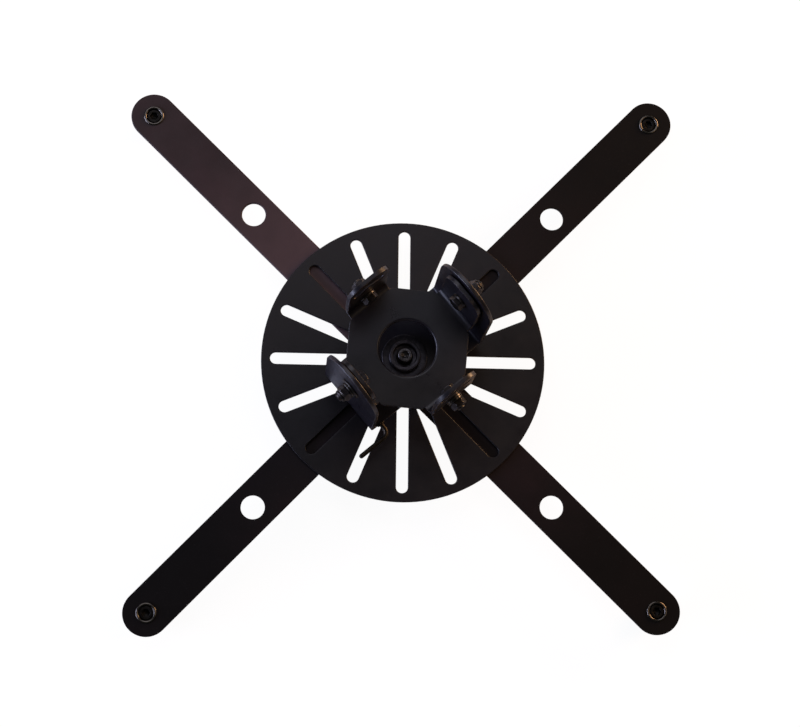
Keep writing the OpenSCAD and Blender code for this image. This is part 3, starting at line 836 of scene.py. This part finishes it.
def make_socket_screw(node, look="steel"):
    """A socket screw in place of its node: drilled hexagon socket, knurled head and cut thread."""
    set_up = bpy.context.scene.mount_hardware
    place = Place(node, -UP)
    top, tip = place.span(node)
    r, head_r, sides = set_up.bore / 2, place.radius(node), set_up.knurls * 6
    seat = top + set_up.bore
    turn = np.linspace(0, 2 * math.pi, sides, endpoint=False)
    hexed = hexagon_reach(turn, set_up.socket)
    drill = np.array([(0.0003, 0.0037), (0.0012, 0.0034), (0.0021, 0.0030)])
    drill[:, 1] += top
    socket = [
        level_rings(hexed * share, turn, top + depth)
        for share, depth in ((0.94, 0.0029), (1.0, 0.0026), (1.0, 0.0006), (1.02, 0.0003), (1.10, 0.0))
    ]
    shoulder = [(set_up.socket * 0.70, top), (head_r, top), (head_r, top + 0.0015)]
    lid = rounded(shoulder, 0.0007, 6, closed=False)
    ridge = 0.00012 * (0.5 + 0.5 * np.cos(turn * set_up.knurls))
    side = [
        level_rings(head_r - ridge * share, turn, top + depth)
        for depth, share in ((0.0016, 0.0), (0.0019, 1.0), (0.0032, 1.0), (0.0053, 1.0), (0.0056, 0.0))
    ]
    chamfer, fillet = 0.0002, 0.0003
    foot = np.array(
        [(head_r, seat - chamfer), (head_r - chamfer, seat), (r + fillet, seat), (r, seat + fillet)]
    )
    start = max(seat + 2 * fillet, tip - 0.014)
    rings = np.concatenate([
        turned(drill, place, sides), place.put(np.array(socket)), turned(lid, place, sides),
        place.put(np.array(side)), turned(foot, place, sides),
        thread_rings(place, start, tip, r, set_up.pitch, set_up.thread_depth, sides),
    ])
    return stand_in(node + "_turned", rings, node, look, angle=38.0)


def make_leg(corner):
    """A leg in place of its node: turned tube with two shallow grooves, a neck and a rolled rim."""
    set_up = bpy.context.scene.mount_hardware
    node = "leg_" + corner
    place = Place(node, UP)
    low, high = place.span(node)
    outer = place.radius(node)
    arm_low, arm_high = place.span("arm_" + corner)
    hole, bore = set_up.bore / 2 + HOLE_CLEAR, 0.0053
    seat = place.span("leg_screw_" + corner)[1] - set_up.bore
    rim, neck = 0.00725, 0.0062
    middle, half, base = (rim + bore) / 2, (rim - bore) / 2, arm_high + 0.00012
    crown = [
        (middle + half * math.cos(a), base + (high - arm_high) * max(0.0, math.sin(a)))
        for a in np.radians(np.linspace(-20, 200, 16))
    ]
    profile = [
        *rounded([(bore, seat), (hole, seat), (hole, low), (outer, low)], 0.0003, 3, closed=False)[:-1],
        *rounded([(outer - 0.002, low), (outer, low), (outer, low + 0.003)], 0.0008, 5, closed=False)[1:],
    ]
    for z in (low + 0.004, low + 0.0055):
        groove = ((0.0, -0.0005), (0.0003, -0.0002), (0.0003, 0.0002), (0.0, 0.0005))
        profile += [(outer - depth, z + way) for depth, way in groove]
    chamfer = 0.0004
    profile += [(outer, arm_low - chamfer), (outer - chamfer, arm_low), (neck, arm_low), (neck, arm_high)]
    profile += crown
    rings = turned(np.array(profile), place, set_up.sides)
    return stand_in(node + "_turned", rings, node, "leg", closed=True, angle=40.0)


def make_boss():
    """The swivel boss in place of its node: its corners rounded and a fine groove turned over its ring."""
    set_up = bpy.context.scene.mount_hardware
    place = Place("swivel_boss", UP)
    low, high = place.span("swivel_boss")
    foot, neck = place.radius("swivel_boss"), BOSS_NECK
    shoulder = place.span("slip_washer")[0]
    floor = place.span("swivel_screw_washer")[0]
    ring_top = place.span("retaining_ring")[1]
    hole, recess, groove = set_up.bore / 2 + HOLE_CLEAR, 0.0085, 0.0004
    profile = [
        (hole, low), (foot, low), (foot, shoulder), (neck, shoulder), (neck, ring_top + 0.0012),
        (neck - groove, ring_top + 0.0014), (neck - groove, ring_top + 0.0022), (neck, ring_top + 0.0024),
        (neck, high), (recess, high), (recess, floor), (hole, floor),
    ]
    rings = turned(rounded(profile, 0.0005, 5), place, set_up.sides)
    return stand_in("swivel_boss_turned", rings, "swivel_boss", "boss", closed=True, angle=40.0)


def make_hook():
    """The tether hook in place of its node: a rod carried along a line, a quarter circle and a line.

    Its end is nearly a half ball, and a rippled bead of weld runs round its root: a ring whose thickness
    swells and sinks with the sine of eleven times the angle, a little uneven.
    """
    node = "tether_hook"
    along = -TILT
    out = np.cross(UP, along)
    points = points_of(node)
    a, b, z = points @ along, points @ out, points[:, 2]
    rod = float(z.max() - z.min())
    level = float(z.max() + z.min()) / 2
    bend = 1.5 * rod
    start, root, reach, end = a.min() + rod / 2, b.min(), b.max() - rod / 2, a.max()
    quarter = np.radians(np.linspace(0, 90, 22))
    path = [(start, root), (start, root + 0.0015)]
    path += [(start + bend * (1 - math.cos(t)), reach - bend * (1 - math.sin(t))) for t in quarter]
    path += [(x, reach) for x in np.linspace(start + bend, end - rod / 2, 24)[1:]]
    dome = np.radians(np.linspace(0, 82, 8))[1:]
    path += [(end - rod / 2 + rod / 2 * math.sin(t), reach) for t in dome]
    radius = [rod / 2] * (len(path) - len(dome)) + [rod / 2 * math.cos(t) for t in dome]
    line = [along * p + out * q + UP * level for p, q in path]
    stand_in(node + "_rod", swept(line, radius, 32), node, "hook", angle=45.0)
    turn = np.linspace(0, 2 * math.pi, 88, endpoint=False)[:, None]
    ring = np.linspace(0, 2 * math.pi, 14, endpoint=False)[None, :]
    bead_size, ripple, gap = 0.0010, 0.16, 0.0003
    thick = bead_size * (1 + ripple * np.sin(11 * turn + 0.6 * np.cos(2 * turn)))
    far = rod / 2 + gap + thick * np.cos(ring)
    rise = thick * 0.9 * np.sin(ring)
    bead = (
        (along * start + out * root + UP * level)
        + (far * np.cos(turn))[..., None] * along
        + (far * np.sin(turn))[..., None] * UP
        + rise[..., None] * out
    )
    skin("hook_weld_bead", bead, node, "hook", closed=True, angle=60.0)


class MOUNT_OT_clamps(Operator):
    """Bolts, wide washers and nuts that clamp the arms to the disk."""

    bl_idname = "mount.clamps"
    bl_label = "Arm clamps"

    def execute(self, context):
        for corner in CORNERS:
            make_bolt("clamp_bolt_" + corner, UP, thread_length=0.0135)
            make_washer("clamp_washer_" + corner, UP)
            make_nut("clamp_nut_" + corner, UP)
        return {"FINISHED"}


class MOUNT_OT_legs(Operator):
    """Hollow legs with their socket screws."""

    bl_idname = "mount.legs"
    bl_label = "Legs"

    def execute(self, context):
        for corner in CORNERS:
            make_leg(corner)
            # The leg screws get painted shade: they sit deep in the legs' bores.
            make_socket_screw("leg_screw_" + corner, "recess_shade")
        return {"FINISHED"}


class MOUNT_OT_swivel(Operator):
    """Swivel boss with its screw, nut, washers and retaining ring."""

    bl_idname = "mount.swivel"
    bl_label = "Swivel"

    def execute(self, context):
        make_boss()
        make_socket_screw("swivel_screw", "screw")
        # The washer at the bottom of the recess gets painted shade.
        make_washer("swivel_screw_washer", UP, "recess_shade")
        make_washer("swivel_nut_washer", -UP)
        make_nut("swivel_nut", -UP)
        make_washer("slip_washer", UP, "nylon", BOSS_NECK + RUN_CLEAR)
        make_washer("retaining_ring", UP, "boss", BOSS_NECK)
        return {"FINISHED"}


class MOUNT_OT_pivots(Operator):
    """Bolts, washers and locking nuts of the tilt pivots."""

    bl_idname = "mount.pivots"
    bl_label = "Tilt pivots"

    def execute(self, context):
        for corner in PIVOT_CORNERS:
            way = OUTWARD[corner]
            make_bolt("pivot_bolt_" + corner, way, thread_length=0.014)
            make_washer("pivot_head_washer_" + corner, -way)
            make_washer("ear_slip_washer_" + corner, way, "nylon")
            make_washer("pivot_washer_" + corner, way)
            make_spring_washer("pivot_spring_washer_" + corner, "pivot_bolt_" + corner, way)
            make_nut("pivot_nut_" + corner, way, collar=0.002)
        return {"FINISHED"}


class MOUNT_OT_locks(Operator):
    """Bolts, washers and nuts of the lock ears."""

    bl_idname = "mount.locks"
    bl_label = "Lock bolts"

    def execute(self, context):
        for corner in LOCK_CORNERS:
            way = OUTWARD[corner]
            make_bolt("lock_bolt_" + corner, way, thread_length=0.012)
            make_washer("lock_head_washer_" + corner, -way)
            make_washer("lock_washer_" + corner, way)
            make_spring_washer("lock_spring_washer_" + corner, "lock_bolt_" + corner, way)
            make_nut("lock_nut_" + corner, way)
        return {"FINISHED"}


class MOUNT_OT_hook(Operator):
    """Tether hook and its bead of weld."""

    bl_idname = "mount.hook"
    bl_label = "Tether hook"

    def execute(self, context):
        make_hook()
        return {"FINISHED"}


class MOUNT_OT_stage(Operator):
    """Pale floor, soft lamps, world and camera."""

    bl_idname = "mount.stage"
    bl_label = "Stage"

    def execute(self, context):
        stage = context.scene.mount_stage
        half, z = stage.floor_size / 2, -FLOOR_DROP
        mesh = bpy.data.meshes.new("floor")
        corners = [(-half, -half, z), (half, -half, z), (half, half, z), (-half, half, z)]
        mesh.from_pydata(corners, [], [(0, 1, 2, 3)])
        floor = bpy.data.objects.new("floor", mesh)
        context.scene.collection.objects.link(floor)
        floor.data.materials.append(floor_material(tuple(stage.floor_colour)))
        centre, head = (0, 0, 0), (0, 0, 0.07)
        lamps = (
            ("top_lamp", 0.95, (1.8, 1.8), (-0.45, 1.35, 1.9), centre, (0.95, 0.93, 1.06)),
            ("side_lamp", 0.3, (0.9, 0.9), (1.3, 0.1, 1.7), centre, (1.0, 0.70, 0.46)),
            ("key_lamp", 3.0, (0.6, 1.6), (-1.8, -0.25, 0.45), head, tuple(stage.key_colour)),
            ("warm_lamp", 2.4, (0.6, 1.0), (1.5, 0.9, 0.42), head, tuple(stage.warm_colour)),
        )
        for name, share, sizes, place, target, colour in lamps:
            add_lamp(context, name, stage.key_power * share, sizes, place, target, colour)
        context.scene.world = studio_world(stage.sky)
        context.scene.view_settings.view_transform = "Standard"
        data = bpy.data.cameras.new("photo_camera")
        data.sensor_width = 36.0
        data.lens = stage.lens
        data.clip_end = 100.0
        camera = bpy.data.objects.new("photo_camera", data)
        context.scene.collection.objects.link(camera)
        camera.location = stage.camera_place
        camera.rotation_euler = stage.camera_turn
        context.scene.camera = camera
        return {"FINISHED"}


def studio_world(strength):
    """White light of a given strength all round, which the camera sees as plain white."""
    made = bpy.data.worlds.new("studio")
    made.use_nodes = True
    tree = made.node_tree
    ground = tree.nodes["Background"]
    ground.inputs["Color"].default_value = (1, 1, 1, 1)
    seen = add_node(tree, "ShaderNodeLightPath", (-600, 0))
    level = remap(tree, seen.outputs["Is Camera Ray"], 0.0, 1.0, strength, 1.0, (-300, 0))
    tree.links.new(level, ground.inputs["Strength"])
    return made


def floor_material(colour):
    """Pale matt floor that the camera sees as white, with the shadows left on it.

    Glow is the white's strength, and share is how much of it the camera sees over the lit floor.
    """
    glow, share = 1.10, 0.85
    made, tree, shader = new_material("pale_floor")
    coords = add_node(tree, "ShaderNodeTexCoord", (-900, 0)).outputs["Object"]
    grain = noise_at(tree, coords, 40.0, 3.0, 0.5, (-700, 0))
    tone = ramp_of(tree, grain, ((0.3, tuple(c * 0.99 for c in colour)), (0.7, colour)), (-400, 0))
    tree.links.new(tone, shader.inputs["Base Color"])
    shader.inputs["Roughness"].default_value = 0.9
    shader.inputs["Specular IOR Level"].default_value = 0.0
    seen = add_node(tree, "ShaderNodeLightPath", (0, 400))
    white = add_node(tree, "ShaderNodeEmission", (300, 300), Strength=glow)
    white.inputs["Color"].default_value = (1, 1, 1, 1)
    part = maths(tree, "MULTIPLY", seen.outputs["Is Camera Ray"], share, (300, 500))
    blend = tree.nodes.new("ShaderNodeMixShader")
    blend.location = (750, 200)
    out = next(n for n in tree.nodes if n.type == "OUTPUT_MATERIAL")
    tree.links.new(part, blend.inputs["Fac"])
    tree.links.new(shader.outputs["BSDF"], blend.inputs[1])
    tree.links.new(white.outputs["Emission"], blend.inputs[2])
    tree.links.new(blend.outputs["Shader"], out.inputs["Surface"])
    return made


def add_lamp(context, name, power, sizes, place, target, colour):
    """A rectangular lamp, its sizes given as height and width, that looks at a target."""
    data = bpy.data.lights.new(name, "AREA")
    data.energy = power
    data.shape = "RECTANGLE"
    data.size_y, data.size = sizes
    data.color = colour
    lamp = bpy.data.objects.new(name, data)
    lamp.location = place
    lamp.rotation_euler = (Vector(target) - Vector(place)).to_track_quat("-Z", "Y").to_euler()
    context.scene.collection.objects.link(lamp)


class MOUNT_PT_panel(Panel):
    """Lists the steps that dress the mount, and their colours and sizes."""

    bl_label = "Projector Mount"
    bl_idname = "MOUNT_PT_panel"
    bl_space_type = "VIEW_3D"
    bl_region_type = "UI"
    bl_category = "Projector Mount"

    def draw(self, context):
        for step in STEPS:
            self.layout.operator(step.bl_idname)
        for group in (context.scene.mount_coat, context.scene.mount_hardware, context.scene.mount_stage):
            box = self.layout.box()
            for key in group.bl_rna.properties.keys():
                if key not in {"rna_type", "name"}:
                    box.prop(group, key)


STEPS = (
    MOUNT_OT_stage, MOUNT_OT_disk, MOUNT_OT_arms, MOUNT_OT_legs, MOUNT_OT_clamps, MOUNT_OT_swivel,
    MOUNT_OT_head, MOUNT_OT_hook, MOUNT_OT_pivots, MOUNT_OT_locks,
)
SETTINGS = (CoatSettings, HardwareSettings, StageSettings)


def register():
    for kind in (*SETTINGS, *STEPS, MOUNT_PT_panel):
        bpy.utils.register_class(kind)
    bpy.types.Scene.mount_coat = PointerProperty(type=CoatSettings)
    bpy.types.Scene.mount_hardware = PointerProperty(type=HardwareSettings)
    bpy.types.Scene.mount_stage = PointerProperty(type=StageSettings)


def unregister():
    del bpy.types.Scene.mount_coat
    del bpy.types.Scene.mount_hardware
    del bpy.types.Scene.mount_stage
    for kind in reversed((*SETTINGS, *STEPS, MOUNT_PT_panel)):
        bpy.utils.unregister_class(kind)


def main():
    register()
    for step in STEPS:
        group, name = step.bl_idname.split(".")
        getattr(getattr(bpy.ops, group), name)()


if __name__ == "__main__":
    main()
